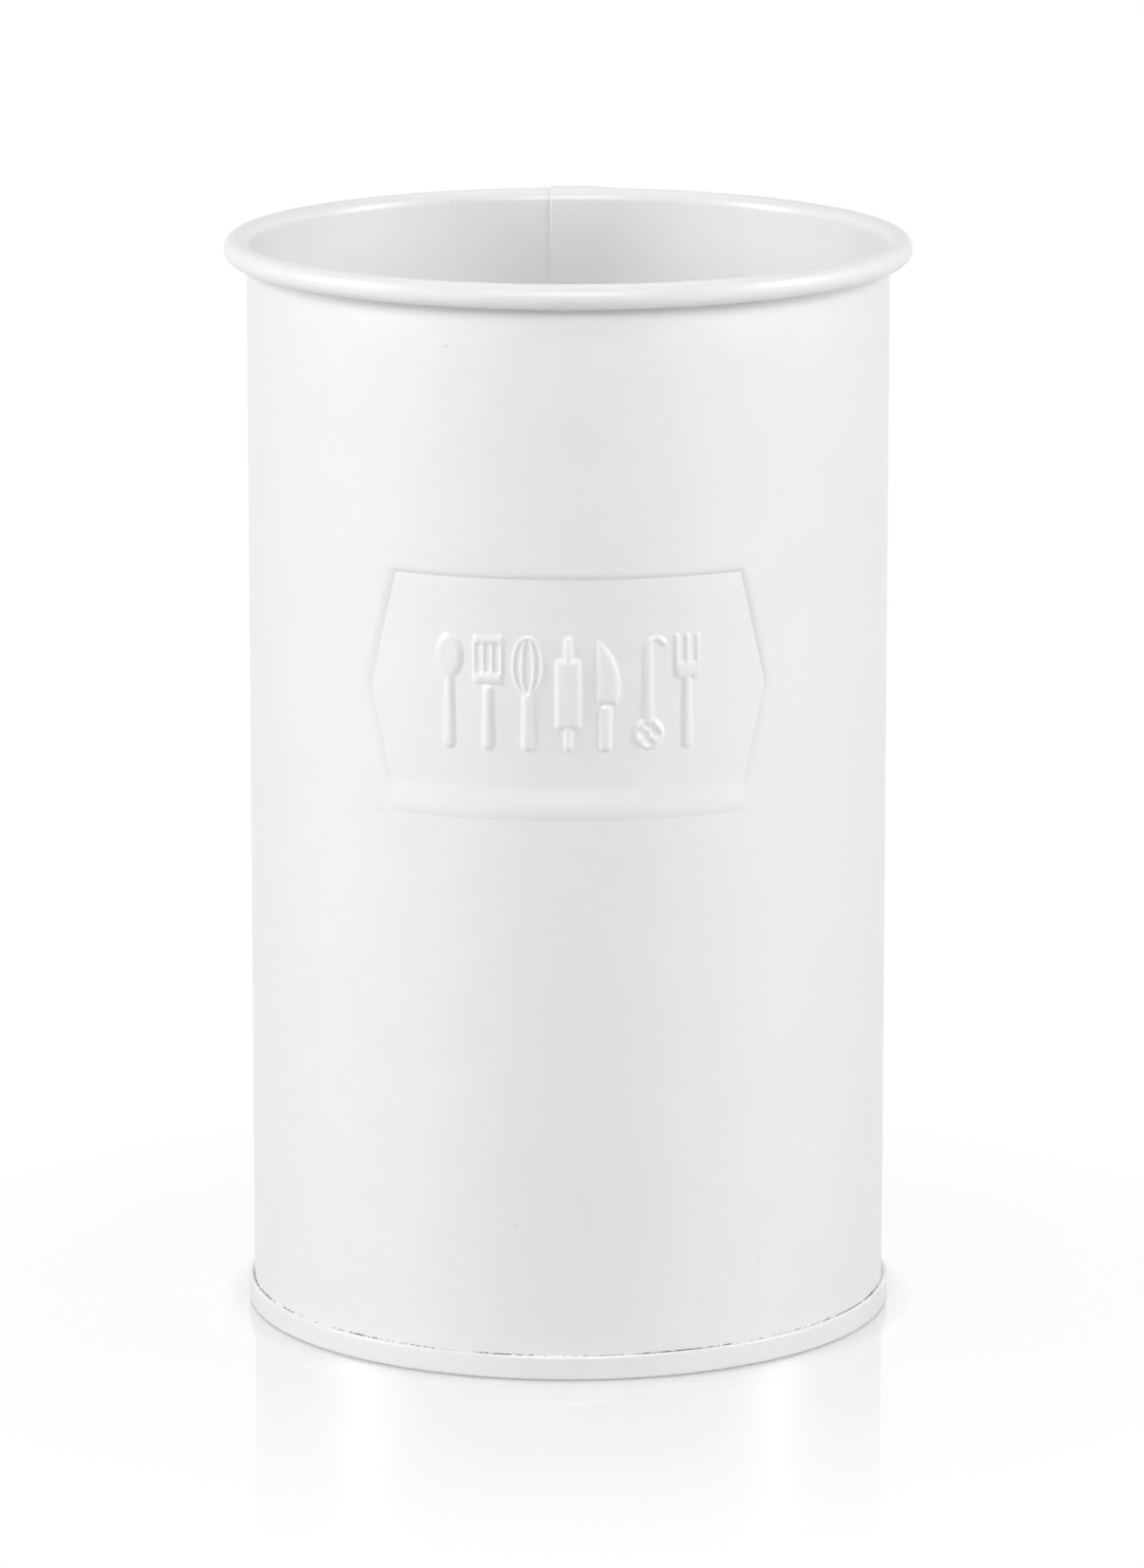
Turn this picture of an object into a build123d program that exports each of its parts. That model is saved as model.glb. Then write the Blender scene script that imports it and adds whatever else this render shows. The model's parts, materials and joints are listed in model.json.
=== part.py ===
from build123d import *
import math
import os

# A free-standing kitchen utensil holder: an open round can of painted tinplate.
# One sheet is rolled into the body, lapped down the back and curled outward at the mouth.
# A stamped base end is hooked to the foot of the body by a double seam.
# The origin is on the floor under the middle, +Z is up, and the pressed plaque faces -Y.
# Lengths are in millimetres and angles in degrees.

# Overall sizes
HEIGHT = 175.0
RIM_DIAMETER = 110.0
WALL_DIAMETER = 102.7
SHEET = 0.28

# Curled rim
CURL_ANGLE = 310.0
CURL_CORNERS = 10
LAP_CURL_CORNERS = 9

# Double seam at the foot
SEAM_HEIGHT = 3.9
FOOT_FLAT = 0.4
BODY_HOOK_TIP = 3.1
END_HOOK_TIP = 1.3
BODY_HOOK_RISE = 0.45
BODY_HOOK_CORNERS = 2
END_HOOK_CORNERS = 4
FOOT_CORNERS = 2

# Base end: from the chuck wall inward, a raised ring, a step down and a stiffening bead
PANEL_RISE = 4.7
PANEL_CORNER = 0.7
RING_INNER_RADIUS = 46.0
STEP_RUN = 0.7
BEAD_OUTER_RADIUS = 37.0
BEAD_RUN = 0.9
STEP_BEND = 1.0
STEP_ANGLE = 45.0

# Lap joint of the rolled sheet, at the back, where the inner end's edge lies beside the middle
LAP_EDGE_OFFSET = -2.8
LAP_WIDTH = 6.0
LAP_EASE = 5.0
LAP_CLEARANCE = 0.6

# Pressed plaque, measured along the wall from its middle
PLAQUE_MIDDLE = 110.4
PLAQUE_HALF_HEIGHT = 18.0
PLAQUE_END_HALF_WIDTH = 28.5
PLAQUE_POINT_HALF_WIDTH = 33.2
PLAQUE_DEPTH = 0.4
TOP_SLOPE_WIDTH = 1.1
SIDE_SLOPE_WIDTH = 1.4
BOTTOM_SLOPE_WIDTH = 2.2
TOOL_MARGIN = 0.3
TOOL_HALF_ANGLE = 45.0
BLOCK_SIZE = 20.0
BLOCK_START = 3.0

# Radii that follow from the sizes above
WALL_OUTER = WALL_DIAMETER / 2
WALL_INNER = WALL_OUTER - SHEET
WALL_MIDDLE = WALL_OUTER - SHEET / 2
CURL_RADIUS = (RIM_DIAMETER / 2 - WALL_INNER - SHEET) / 2
CURL_HEIGHT = HEIGHT - CURL_RADIUS - SHEET / 2
LAP_BOTTOM = PANEL_RISE + LAP_CLEARANCE
HOOK_BEND = SHEET
FRONT = -90.0
BACK = 90.0


class SheetPath:
    """Middle line of a sheet in section: straight runs, and bends drawn as a few short flats."""

    def __init__(self, start, heading):
        self.at = Vector(*start)
        self.heading = Vector(*heading).normalized()
        self.corners = [self.at]
        self.headings = [self.heading]

    def run(self, length):
        self.at = self.at + self.heading * length
        return self

    def run_to_radius(self, radius):
        return self.run((radius - self.at.X) / self.heading.X)

    def run_to_height(self, height):
        return self.run((height - self.at.Y) / self.heading.Y)

    def bend(self, angle, radius, corners=1):
        """Turns left by angle, or right where it is negative, round an arc with flats that touch it."""
        turn = angle / corners
        reach = radius * math.tan(math.radians(abs(turn) / 2))
        for _ in range(corners):
            self.run(reach)
            self.heading = self.heading.rotate(Axis.Z, turn)
            self.corners.append(self.at)
            self.headings.append(self.heading)
            self.run(reach)
        return self

    def face_points(self, offset):
        """Corners of the face that lies that far to the left of the middle line."""
        ends = [*self.corners, self.at]
        before = [self.headings[0], *self.headings]
        after = [*self.headings, self.headings[-1]]
        points = []
        for end, arriving, leaving in zip(ends, before, after):
            mitre = (arriving + leaving) / (1 + arriving.dot(leaving))
            points.append(end + Vector(-mitre.Y, mitre.X) * offset)
        return points

    def section(self, thickness=SHEET):
        left = self.face_points(thickness / 2)
        right = self.face_points(-thickness / 2)
        return Plane.XZ * make_face(Polyline(*left, *reversed(right), close=True))


def hook_radius(layer):
    """Middle radius of a layer of the double seam, counted outward from the wall at 0."""
    return WALL_MIDDLE + layer * SHEET


def rolled_wall():
    """Wall, with the body hook turned out at its foot and the curl at its mouth."""
    hook_turn = BODY_HOOK_RISE + SHEET / 2 + HOOK_BEND
    path = SheetPath((hook_radius(2), BODY_HOOK_TIP), (0, -1))
    path.run_to_height(hook_turn)
    path.bend(-180, HOOK_BEND, BODY_HOOK_CORNERS)
    path.run_to_height(CURL_HEIGHT)
    path.bend(-CURL_ANGLE, CURL_RADIUS, CURL_CORNERS)
    return revolve(path.section(), Axis.Z)


def wall_point(radius, across, height):
    """Point at that radius, as far round the wall from the front as across is along its outer face."""
    angle = math.radians(FRONT) + across / WALL_OUTER
    return Vector(radius * math.cos(angle), radius * math.sin(angle), height)


def beside_plaque(base_radius, side, upper):
    """Block that lies against one of the plaque's four sloping sides, from below its floor outward."""
    floor = base_radius - PLAQUE_DEPTH
    rise = PLAQUE_HALF_HEIGHT * (1 if upper else -1)
    inset = PLAQUE_POINT_HALF_WIDTH - PLAQUE_END_HALF_WIDTH
    slope = Vector(abs(rise), inset * math.copysign(1, rise)).normalized() * SIDE_SLOPE_WIDTH
    point = wall_point(floor, side * PLAQUE_POINT_HALF_WIDTH, PLAQUE_MIDDLE)
    end = wall_point(floor, side * PLAQUE_END_HALF_WIDTH, PLAQUE_MIDDLE + rise)
    shoulder = wall_point(base_radius, side * (PLAQUE_POINT_HALF_WIDTH + slope.X), PLAQUE_MIDDLE + slope.Y)
    along = (end - point).normalized()
    up_slope = (shoulder - point) - along * (shoulder - point).dot(along)
    into_metal = along.cross(up_slope)
    if into_metal.dot(point * -1) < 0:
        into_metal = into_metal * -1
    plane = Plane(origin=point, x_dir=up_slope, z_dir=into_metal)
    block = Box(BLOCK_SIZE, 2 * BLOCK_SIZE, BLOCK_SIZE, align=(Align.MIN, Align.CENTER, Align.MIN))
    return plane * Pos(-BLOCK_START, 0, 0) * block


def plaque_relief(base_radius, reach):
    """Solid between the plaque pressed into a cylinder of that radius and the radius it reaches out to."""
    floor = base_radius - PLAQUE_DEPTH
    spread = (reach - floor) / PLAQUE_DEPTH
    low = PLAQUE_MIDDLE - PLAQUE_HALF_HEIGHT
    high = PLAQUE_MIDDLE + PLAQUE_HALF_HEIGHT
    profile = Polyline(
        (floor, low),
        (floor, high),
        (reach, high + TOP_SLOPE_WIDTH * spread),
        (reach, low - BOTTOM_SLOPE_WIDTH * spread),
        close=True,
    )
    ring = revolve(Plane.XZ * make_face(profile), Axis.Z, 2 * TOOL_HALF_ANGLE)
    relief = ring.rotate(Axis.Z, FRONT - TOOL_HALF_ANGLE)
    for side in (-1, 1):
        for upper in (True, False):
            relief -= beside_plaque(base_radius, side, upper)
    return relief


def lap_angle(offset):
    """Direction of a place at the back, given how far it lies from the middle towards +X."""
    return BACK - math.degrees(offset / WALL_INNER)


def lap_section(dip, offset):
    """Section of the sheet's inner end where it stands in from the wall by dip, rooted in the wall."""
    thickness = SHEET / 2 + dip
    path = SheetPath((WALL_MIDDLE - thickness / 2, LAP_BOTTOM), (0, 1))
    path.run_to_height(CURL_HEIGHT)
    angle = CURL_ANGLE * LAP_CURL_CORNERS / CURL_CORNERS
    path.bend(-angle, CURL_RADIUS + thickness / 2, LAP_CURL_CORNERS)
    return path.section(thickness).rotate(Axis.Z, lap_angle(offset))


def outer_dip():
    """Sliver that leaves the wall's outer face where the inner end of the sheet comes out of the lap."""
    start = lap_angle(LAP_EDGE_OFFSET + LAP_WIDTH)
    end = lap_angle(LAP_EDGE_OFFSET + LAP_WIDTH + LAP_EASE)
    outer = CenterArc((0, 0), WALL_OUTER, start, end - start)
    step = Line(outer @ 0, (outer @ 0) * ((WALL_OUTER - SHEET) / WALL_OUTER))
    plan = make_face([outer, step, Line(step @ 1, outer @ 1)])
    return extrude(Pos(0, 0, LAP_BOTTOM) * plan, CURL_HEIGHT - LAP_BOTTOM)


def lap_joint(wall):
    """The inner end of the sheet lies over the outer one, then eases out to the wall's own radius."""
    level_end = LAP_EDGE_OFFSET + LAP_WIDTH
    ease_end = level_end + LAP_EASE
    sweep = lap_angle(level_end) - lap_angle(LAP_EDGE_OFFSET)
    overlap = revolve(lap_section(SHEET, LAP_EDGE_OFFSET), Axis.Z, sweep)
    ease = loft([lap_section(SHEET, level_end), lap_section(0, ease_end)], ruled=True)
    return wall + overlap + ease - outer_dip()


def can_body():
    wall = lap_joint(rolled_wall())
    pressed_in = plaque_relief(WALL_INNER, WALL_INNER)
    hollow = plaque_relief(WALL_OUTER, WALL_OUTER + TOOL_MARGIN)
    return wall + pressed_in - hollow


def base_end():
    """Stamped base, from its hook under the body hook round the foot and in to the middle."""
    foot_bend = (hook_radius(3) - hook_radius(-1) - FOOT_FLAT) / 2
    hook_turn = SEAM_HEIGHT - HOOK_BEND - SHEET / 2
    path = SheetPath((hook_radius(1), END_HOOK_TIP), (0, 1))
    path.run_to_height(hook_turn)
    path.bend(-180, HOOK_BEND, END_HOOK_CORNERS)
    path.run_to_height(foot_bend + SHEET / 2)
    path.bend(-90, foot_bend, FOOT_CORNERS)
    path.run(FOOT_FLAT)
    path.bend(-90, foot_bend, FOOT_CORNERS)
    path.run_to_height(PANEL_RISE - PANEL_CORNER)
    path.bend(90, PANEL_CORNER, FOOT_CORNERS)
    path.run_to_radius(RING_INNER_RADIUS)
    path.bend(STEP_ANGLE, STEP_BEND).run(STEP_RUN).bend(-STEP_ANGLE, STEP_BEND)
    path.run_to_radius(BEAD_OUTER_RADIUS)
    path.bend(-STEP_ANGLE, STEP_BEND).run(BEAD_RUN).bend(2 * STEP_ANGLE, STEP_BEND)
    path.run(BEAD_RUN).bend(-STEP_ANGLE, STEP_BEND)
    path.run_to_radius(0)
    return revolve(path.section(), Axis.Z)


def main():
    os.makedirs("parts", exist_ok=True)
    for name, shape in {"can_body": can_body(), "base_end": base_end()}.items():
        export_step(shape, f"parts/{name}.step")
        print(name, "volume", round(shape.volume), "mm3", "valid", shape.is_valid)


main()
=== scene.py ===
"""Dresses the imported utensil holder: a rolled and painted tin can with a pressed plaque.

Every length is in metres. The origin is on the floor under the middle of the can, +Z is up,
and the plaque faces -Y. Arc lengths and angles round the wall are counted from the front,
and they are positive towards +X.
"""

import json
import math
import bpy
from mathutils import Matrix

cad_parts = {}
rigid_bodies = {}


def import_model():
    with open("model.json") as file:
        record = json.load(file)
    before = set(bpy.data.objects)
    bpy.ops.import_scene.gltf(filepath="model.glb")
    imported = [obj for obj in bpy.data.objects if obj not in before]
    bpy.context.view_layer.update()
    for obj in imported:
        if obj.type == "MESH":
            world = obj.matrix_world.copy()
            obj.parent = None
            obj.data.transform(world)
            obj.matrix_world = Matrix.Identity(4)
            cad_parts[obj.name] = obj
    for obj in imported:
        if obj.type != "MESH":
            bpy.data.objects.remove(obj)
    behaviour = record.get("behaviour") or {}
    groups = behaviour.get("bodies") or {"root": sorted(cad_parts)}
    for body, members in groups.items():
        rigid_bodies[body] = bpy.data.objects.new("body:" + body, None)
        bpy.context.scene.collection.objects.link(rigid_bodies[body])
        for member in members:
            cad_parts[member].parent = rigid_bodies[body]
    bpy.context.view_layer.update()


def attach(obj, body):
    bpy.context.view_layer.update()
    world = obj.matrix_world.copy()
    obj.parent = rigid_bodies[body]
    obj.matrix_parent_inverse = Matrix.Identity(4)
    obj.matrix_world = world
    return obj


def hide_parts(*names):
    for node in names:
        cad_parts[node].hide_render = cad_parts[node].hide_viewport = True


bl_info = {
    "name": "Painted Tin Utensil Holder",
    "version": (1, 0, 0),
    "blender": (4, 5, 0),
    "location": "3D View > Sidebar > Utensil Holder",
    "description": "Dresses a packed tin utensil holder and sets it on a plain white stage",
    "category": "Object",
}

import bpy
import numpy as np
from bpy.props import FloatProperty, FloatVectorProperty, PointerProperty
from mathutils import Vector

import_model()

MM = 0.001
SEED = 11

# Height of the photograph, in pixels
PHOTO_HEIGHT = 1645

WHITE = (1, 1, 1, 1)

# Steps of the bends in the two sections
HOOK_STEPS = 5
INNER_CURL_STEPS = 60
OUTER_CURL_STEPS = 24
BASE_BEND_STEPS = 4

# Where the body's grid is finer: the raised utensils, and the rough paint under the rim
UTENSIL_BAND = (100.4 * MM, 120.4 * MM)
UTENSIL_REACH = 24 * MM
ROUGH_CURL_STEPS = (15, 48)
ROUGH_REACH = (-4 * MM, 9 * MM)

# How far below the top of the rim the wall's rows end, and how far below it the pressing ends
WALL_ROWS_GAP = 5 * MM
PRESS_GAP = 4.5 * MM

# Height in which the inner end of the sheet comes in over its lower edge
LAP_STEP = 0.02 * MM

# Heights of the sheets' free edges inside the seam
BODY_HOOK_TIP = 3.1 * MM
END_HOOK_TIP = 1.3 * MM

# The step and the bead stamped into the base, and the radius inside which it is a fan of faces
STEP_TURN = math.pi / 4
STEP_BEND = 1 * MM
STEP_RUN = 0.7 * MM
BEAD_RUN = 0.9 * MM
FAN_RADIUS = 2 * MM


class CanSizes(bpy.types.PropertyGroup):
    """Sizes of the rolled can body."""

    wall_radius: FloatProperty(
        name="Wall radius", description="Outer radius of the straight wall",
        default=51.35 * MM, unit="LENGTH", precision=5)
    rim_radius: FloatProperty(
        name="Rim radius", description="Outer radius of the curled rim",
        default=55 * MM, unit="LENGTH", precision=5)
    rim_height: FloatProperty(
        name="Rim height", description="Height of the top of the curled rim",
        default=175 * MM, unit="LENGTH", precision=5)
    sheet: FloatProperty(
        name="Sheet", description="Thickness of the painted sheet",
        default=0.28 * MM, unit="LENGTH", precision=5)
    curl_turn: FloatProperty(
        name="Curl turn", description="How far the rim is rolled over",
        default=math.radians(310), subtype="ANGLE")
    lap_edge: FloatProperty(
        name="Lap edge", description="Where the inner end of the sheet lies, from the middle of the back",
        default=-2.8 * MM, unit="LENGTH", precision=5)
    lap_width: FloatProperty(
        name="Lap width", description="Overlap of the two ends of the sheet",
        default=6 * MM, unit="LENGTH", precision=5)
    lap_ease: FloatProperty(
        name="Lap ease", description="Run in which the inner end comes back out to the wall",
        default=5 * MM, unit="LENGTH", precision=5)
    lap_bottom: FloatProperty(
        name="Lap bottom", description="Height at which the inner end of the sheet starts",
        default=5.3 * MM, unit="LENGTH", precision=5)
    rough_start: FloatProperty(
        name="Rough rim start", description="Where the rough paint under the rim starts",
        default=-2.5 * MM, unit="LENGTH", precision=5)
    rough_end: FloatProperty(
        name="Rough rim end", description="Where the rough paint under the rim ends",
        default=7.5 * MM, unit="LENGTH", precision=5)
    rough_depth: FloatProperty(
        name="Rough rim depth", description="Height of the lumps in the rough paint",
        default=0.13 * MM, unit="LENGTH", precision=5)


class PlaqueSizes(bpy.types.PropertyGroup):
    """Sizes of the pressed plaque and of the utensils raised on it."""

    middle: FloatProperty(
        name="Middle", description="Height of the plaque's middle",
        default=110.4 * MM, unit="LENGTH", precision=5)
    half_height: FloatProperty(
        name="Half height", description="Half of the plaque's height",
        default=18 * MM, unit="LENGTH", precision=5)
    end_half_width: FloatProperty(
        name="End half width", description="Half of the plaque's width at its top and foot",
        default=28.5 * MM, unit="LENGTH", precision=5)
    point_half_width: FloatProperty(
        name="Point half width", description="Half of the plaque's width at its two side points",
        default=33.2 * MM, unit="LENGTH", precision=5)
    depth: FloatProperty(
        name="Depth", description="How far the plaque is pressed in",
        default=0.48 * MM, unit="LENGTH", precision=5)
    top_slope: FloatProperty(
        name="Top slope", description="Width of the slope along the top",
        default=1.1 * MM, unit="LENGTH", precision=5)
    left_slope: FloatProperty(
        name="Left slope", description="Width of the slopes on the left, which are gentle",
        default=1.5 * MM, unit="LENGTH", precision=5)
    right_slope: FloatProperty(
        name="Right slope", description="Width of the slopes on the right, which are sharp",
        default=1.15 * MM, unit="LENGTH", precision=5)
    foot_height: FloatProperty(
        name="Foot height", description="Height of the crease along the plaque's foot",
        default=90.3 * MM, unit="LENGTH", precision=5)
    tilt: FloatProperty(
        name="Tilt", description="Share of its depth that the plaque's floor loses on the way down",
        default=0.4, min=0, max=1)
    lip: FloatProperty(
        name="Lip", description="How far the plaque stands proud of the wall above the crease",
        default=0.2 * MM, unit="LENGTH", precision=5)
    lip_slope: FloatProperty(
        name="Lip slope", description="Width of the slope from the lip down to the crease",
        default=1.4 * MM, unit="LENGTH", precision=5)
    ramp: FloatProperty(
        name="Ramp", description="Width of the ramp from the plaque's floor out to the lip",
        default=4.2 * MM, unit="LENGTH", precision=5)
    lip_half_width: FloatProperty(
        name="Lip half width", description="Half of the width of the lip",
        default=30.1 * MM, unit="LENGTH", precision=5)
    relief: FloatProperty(
        name="Relief", description="Height of the raised utensils",
        default=0.45 * MM, unit="LENGTH", precision=5)
    relief_edge: FloatProperty(
        name="Relief edge", description="Width of the rounded edge of the raised utensils",
        default=1.15 * MM, unit="LENGTH", precision=5)
    pitch: FloatProperty(
        name="Pitch", description="Distance from one raised utensil to the next",
        default=6.35 * MM, unit="LENGTH", precision=5)


class BaseSizes(bpy.types.PropertyGroup):
    """Sizes of the stamped base end and the double seam."""

    seam_height: FloatProperty(
        name="Seam height", description="Height of the double seam",
        default=3.9 * MM, unit="LENGTH", precision=5)
    foot_flat: FloatProperty(
        name="Foot flat", description="Width of the flat that the can stands on",
        default=0.4 * MM, unit="LENGTH", precision=5)
    panel_rise: FloatProperty(
        name="Panel rise", description="Height of the middle of the base's outer ring",
        default=4.7 * MM, unit="LENGTH", precision=5)
    panel_corner: FloatProperty(
        name="Panel corner", description="Radius of the bend from the seam into the base",
        default=0.7 * MM, unit="LENGTH", precision=5)
    ring_radius: FloatProperty(
        name="Ring radius", description="Inner radius of the raised ring",
        default=46 * MM, unit="LENGTH", precision=5)
    bead_radius: FloatProperty(
        name="Bead radius", description="Outer radius of the stiffening bead",
        default=37 * MM, unit="LENGTH", precision=5)


class PaintLook(bpy.types.PropertyGroup):
    """Colour and finish of the paint."""

    colour: FloatVectorProperty(
        name="Colour", description="Colour of the paint",
        default=(0.9, 0.9, 0.9), subtype="COLOR", min=0, max=1)
    roughness: FloatProperty(
        name="Roughness", description="Roughness of the dried paint",
        default=0.32, min=0, max=1)
    peel_size: FloatProperty(
        name="Peel size", description="Distance from one ripple of the paint to the next",
        default=0.9 * MM, unit="LENGTH", precision=5)
    peel_depth: FloatProperty(
        name="Peel depth", description="Depth of the ripples in the paint",
        default=0.02 * MM, unit="LENGTH", precision=6)
    speck_spacing: FloatProperty(
        name="Speck spacing", description="Typical distance between specks of dust in the paint",
        default=9 * MM, unit="LENGTH", precision=5)


class StageLook(bpy.types.PropertyGroup):
    """The floor, the lamps and the camera."""

    floor_colour: FloatVectorProperty(
        name="Floor colour", description="Colour of the floor",
        default=(0.7, 0.7, 0.7), subtype="COLOR", min=0, max=1)
    mirror: FloatProperty(
        name="Mirror", description="Strength of the floor's reflection close to the can",
        default=0.55, min=0, max=1)
    mirror_reach: FloatProperty(
        name="Mirror reach", description="Distance from the can's axis at which the reflection is gone",
        default=150 * MM, unit="LENGTH", precision=4)
    camera_distance: FloatProperty(
        name="Camera distance", description="Level distance of the camera from the can's axis",
        default=1.2881, unit="LENGTH", precision=4)
    camera_height: FloatProperty(
        name="Camera height", description="Height of the camera above the floor",
        default=0.3631, unit="LENGTH", precision=4)
    camera_pitch: FloatProperty(
        name="Camera pitch", description="How far the camera looks down",
        default=math.radians(12.175), subtype="ANGLE")
    lens: FloatProperty(
        name="Lens", description="Focal length of the camera",
        default=186.77, unit="CAMERA", precision=3)
    aside: FloatProperty(
        name="Aside", description="How far the can lies left of the middle, in the photograph's pixels",
        default=4, subtype="PIXEL")


class UtensilHolderSettings(bpy.types.PropertyGroup):
    """Everything that a user of the holder may change."""

    can: PointerProperty(type=CanSizes)
    plaque: PointerProperty(type=PlaqueSizes)
    base: PointerProperty(type=BaseSizes)
    paint: PointerProperty(type=PaintLook)
    stage: PointerProperty(type=StageLook)


def settings():
    """The holder's sizes and looks, in metres and radians."""
    return bpy.context.scene.utensil_holder


class SheetSection:
    """Middle line of a bent sheet in section, with the direction to the left of travel at each point."""

    def __init__(self, radius, height, heading):
        self.at = np.array([radius, height])
        self.heading = heading
        self.points = []
        self.lefts = []
        self.keep()

    def keep(self):
        """Keeps this place as the line's next point."""
        self.points.append(self.at.copy())
        self.lefts.append([-math.sin(self.heading), math.cos(self.heading)])

    def run(self, length, steps=1):
        """Straight on."""
        step = np.array([math.cos(self.heading), math.sin(self.heading)]) * length / steps
        for _ in range(steps):
            self.at = self.at + step
            self.keep()

    def climb(self, heights):
        """Straight up or down through these heights."""
        for height in heights:
            self.at = np.array([self.at[0], height])
            self.keep()

    def bend(self, turn, radius, steps):
        """Turns left by turn, or right where it is negative."""
        side = math.copysign(1, turn)
        to_centre = np.array([-math.sin(self.heading), math.cos(self.heading)]) * radius * side
        centre = self.at + to_centre
        for _ in range(steps):
            self.heading += turn / steps
            out = -np.array([-math.sin(self.heading), math.cos(self.heading)]) * radius * side
            self.at = centre + out
            self.keep()

    def face(self, offset):
        """Rows of one face: radius, height, and the direction to the left in both."""
        points = np.array(self.points)
        lefts = np.array(self.lefts)
        return np.hstack([points + lefts * offset, lefts])


def layer_radius(layer):
    """Middle radius of a layer of the double seam, counted outward from the wall at 0."""
    can = settings().can
    return can.wall_radius - can.sheet / 2 + layer * can.sheet


def smooth_step(value):
    """0 up to 0 and 1 from 1 on, with a smooth rise between them."""
    t = np.clip(value, 0, 1)
    return t * t * (3 - 2 * t)


def lattice_noise(x, y, size, seed):
    """Smooth random values from -1 to 1, the same on every run, that change over about size."""
    cells = 64
    table = np.random.default_rng(seed).uniform(-1, 1, (cells, cells))
    column = np.floor(np.asarray(x) / size).astype(int)
    row = np.floor(np.asarray(y) / size).astype(int)
    over = smooth_step(np.asarray(x) / size - column)
    up = smooth_step(np.asarray(y) / size - row)

    def along(level):
        near = table[column % cells, level % cells]
        far = table[(column + 1) % cells, level % cells]
        return near * (1 - over) + far * over

    return along(row) * (1 - up) + along(row + 1) * up


def spaced(start, end, step):
    """Evenly spaced values from start to end, both included, about step apart."""
    return list(np.linspace(start, end, max(2, int(round(abs(end - start) / step)) + 1)))


def merged(*runs):
    """Sorted values of several runs, without repeats."""
    values = np.unique(np.round(np.concatenate(runs), 9))
    return values[np.insert(np.diff(values) > 1e-6, 0, True)]


# Raised utensils. Each takes places in millimetres from its own middle, and gives the distance
# to its outline, which is negative inside.

def capsule(x, z, start, end, start_radius, end_radius=None):
    """A stroke with round ends, which may taper."""
    if end_radius is None:
        end_radius = start_radius
    along = np.array(end, float) - np.array(start, float)
    px = x - start[0]
    pz = z - start[1]
    t = np.clip((px * along[0] + pz * along[1]) / along.dot(along), 0, 1)
    gap = np.hypot(px - along[0] * t, pz - along[1] * t)
    return gap - (start_radius + (end_radius - start_radius) * t)


def oval(x, z, middle, half_width, half_height):
    """An ellipse."""
    px = x - middle[0]
    pz = z - middle[1]
    ratio = np.hypot(px / half_width, pz / half_height)
    rate = np.hypot(px / half_width**2, pz / half_height**2)
    least = 1e-6
    gap = ratio * (ratio - 1) / np.maximum(rate, least)
    return np.where(rate > least, gap, -min(half_width, half_height))


def block(x, z, middle, half_width, half_height, corner):
    """A rectangle with round corners."""
    dx = np.abs(x - middle[0]) - half_width + corner
    dz = np.abs(z - middle[1]) - half_height + corner
    outside = np.hypot(np.maximum(dx, 0), np.maximum(dz, 0))
    return outside + np.minimum(np.maximum(dx, dz), 0) - corner


def joined(*shapes):
    """All of the shapes together."""
    return np.minimum.reduce(shapes)


def cut(shape, *holes):
    """The shape without the holes."""
    return np.maximum.reduce([shape, *[-hole for hole in holes]])


def handle(x, z, top):
    """A round grip that widens a little from its top down."""
    return capsule(x, z, (0, top), (0, -8.2), 0.85, 1.05)


def spoon(x, z):
    return joined(oval(x, z, (0, 5.6), 2.35, 3.65), handle(x, z, 3))


def fork(x, z):
    tines = [capsule(x, z, (place, 3.4), (place, 8.6), 0.6) for place in (-1.75, 0, 1.75)]
    return joined(*tines, block(x, z, (0, 3.3), 2.35, 1.5, 1.3), handle(x, z, 2))


def turner(x, z):
    slots = [capsule(x, z, (place, 3.6), (place, 7.2), 0.36) for place in (-1.4, 0, 1.4)]
    head = cut(block(x, z, (0, 5.2), 2.55, 4, 0.7), *slots)
    return joined(head, handle(x, z, 0.5))


def whisk(x, z):
    wires = [np.abs(oval(x, z, (0, 4.4), width, 4.45)) - 0.36 for width in (2.3, 0.95)]
    return joined(*wires, capsule(x, z, (0, -0.5), (0, -8.1), 1.0, 1.15))


def knife(x, z):
    blade = np.maximum(block(x, z, (0, 3.7), 1.9, 5.5, 0.4), oval(x, z, (-4.2, 1.2), 6.1, 8))
    return joined(blade, block(x, z, (-0.5, -5.4), 1.1, 3.8, 0.9))


def rolling_pin(x, z):
    grips = capsule(x, z, (0, -8.4), (0, 8.4), 0.8)
    return joined(block(x, z, (0, 0), 2.15, 5.7, 0.8), grips)


def ladle(x, z):
    drains = ((-1, -6.5), (1, -6.5), (0, -5.2), (0, -7.8))
    holes = [oval(x, z, drain, 0.42, 0.42) for drain in drains]
    bowl = cut(oval(x, z, (0, -6.5), 2.6, 2.6), *holes)
    stem = capsule(x, z, (0, -4.5), (0, 7.2), 0.95, 0.8)
    hook = np.maximum(np.abs(oval(x, z, (1.25, 7.2), 1.25, 1.25)) - 0.62, 7.2 - z)
    return joined(bowl, stem, hook)


UTENSILS = (spoon, turner, whisk, rolling_pin, knife, ladle, fork)


def utensil_relief(across, height):
    """How far the utensils stand out of the plaque's floor."""
    plaque = settings().plaque
    x = across / MM
    z = (height - plaque.middle) / MM
    lift = np.zeros(np.shape(across))
    for number, utensil in enumerate(UTENSILS):
        place = (number - (len(UTENSILS) - 1) / 2) * plaque.pitch / MM
        inside = np.clip(-utensil(x - place, z) * MM / plaque.relief_edge, 0, 1)
        lift = np.maximum(lift, plaque.relief * (1 - (1 - inside) ** 2))
    return lift


# The pressed plaque

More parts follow.
